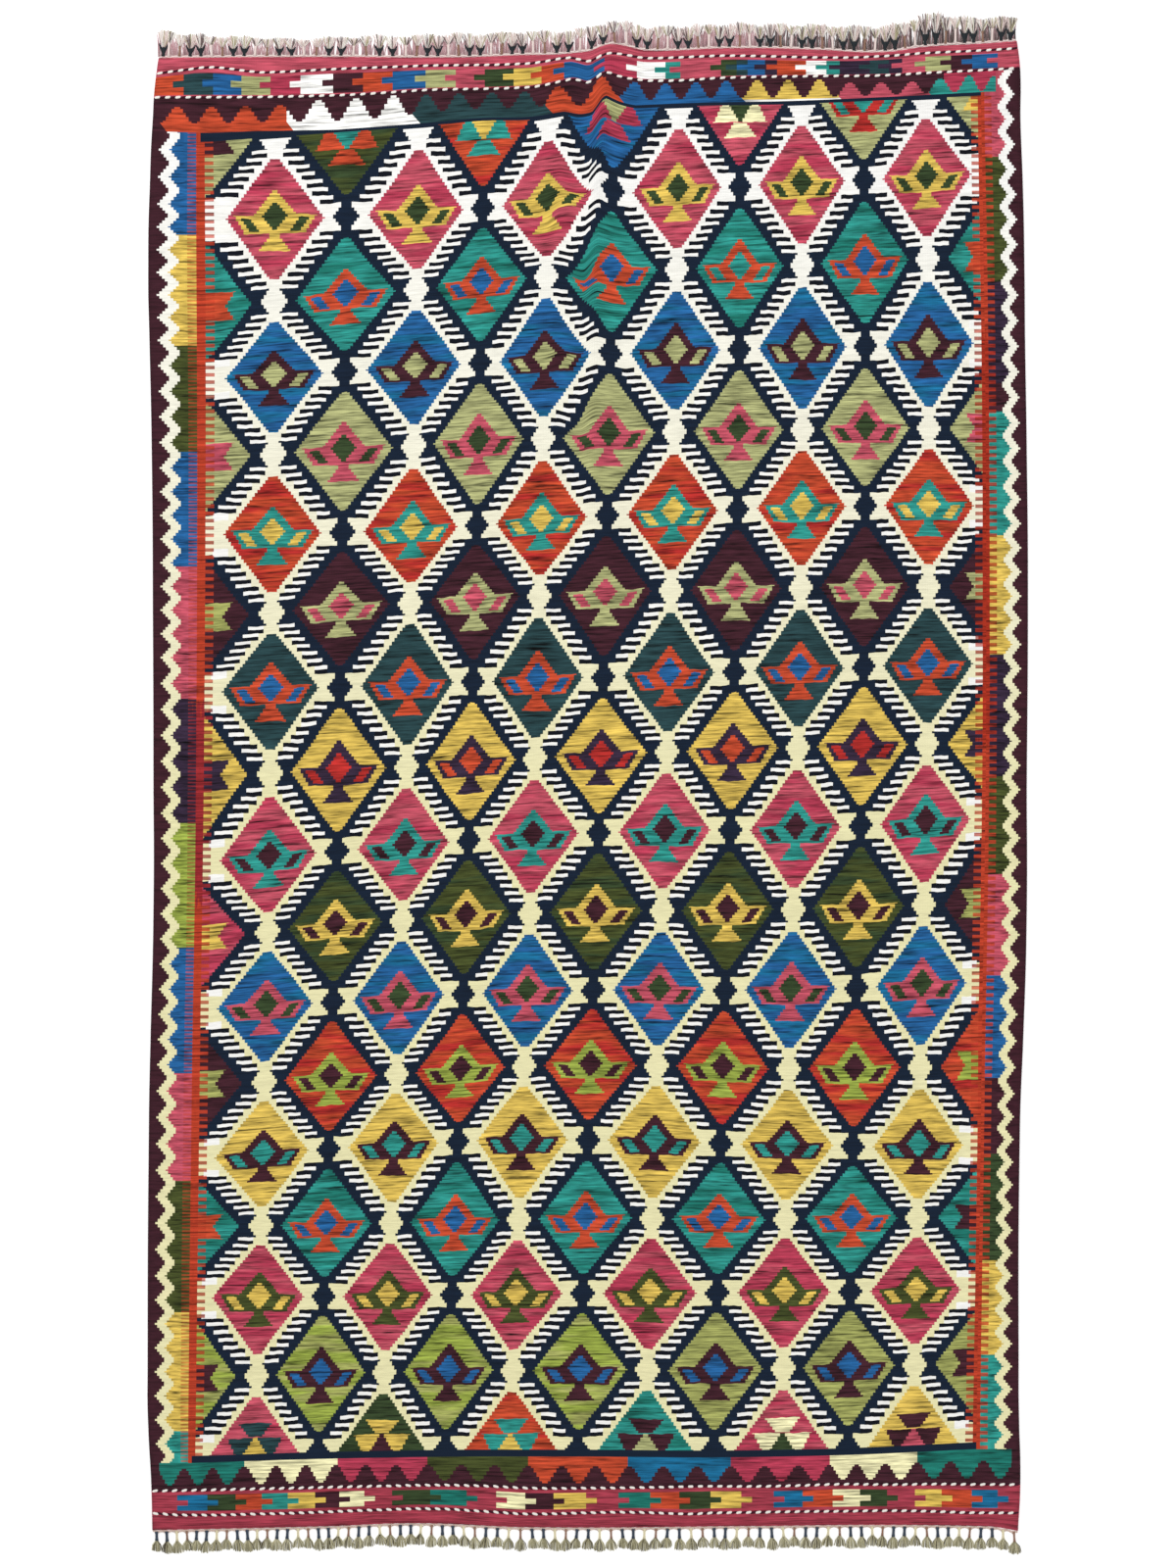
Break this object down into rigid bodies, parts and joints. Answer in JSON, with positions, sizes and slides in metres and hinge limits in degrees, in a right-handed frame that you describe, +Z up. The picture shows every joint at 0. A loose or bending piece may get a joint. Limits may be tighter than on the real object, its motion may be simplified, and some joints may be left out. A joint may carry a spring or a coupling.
{
  "type": "kilim rug",
  "caption": "Flat-woven wool rug lying flat, with a diamond lattice, stepped side borders, patterned end bands and knotted tassels along both ends.",
  "frame": {"origin": "middle of the woven cloth on its flat underside, which is the floor it lies on", "axes": "+X across the rug, +Y along its length to the end with the crease, +Z up"},
  "size_m": [1.5202, 2.6608, 0.0122],
  "materials": {
    "wool_field": "matte slit-woven wool in many colours with abrash",
    "fringe_yarn": "matte plied wool and goat-hair warp ends"
  },
  "bodies": {
    "root": {"kilim_cloth": "wool_field", "fringe_near": "fringe_yarn", "fringe_far": "fringe_yarn"}
  },
  "joints": []
}
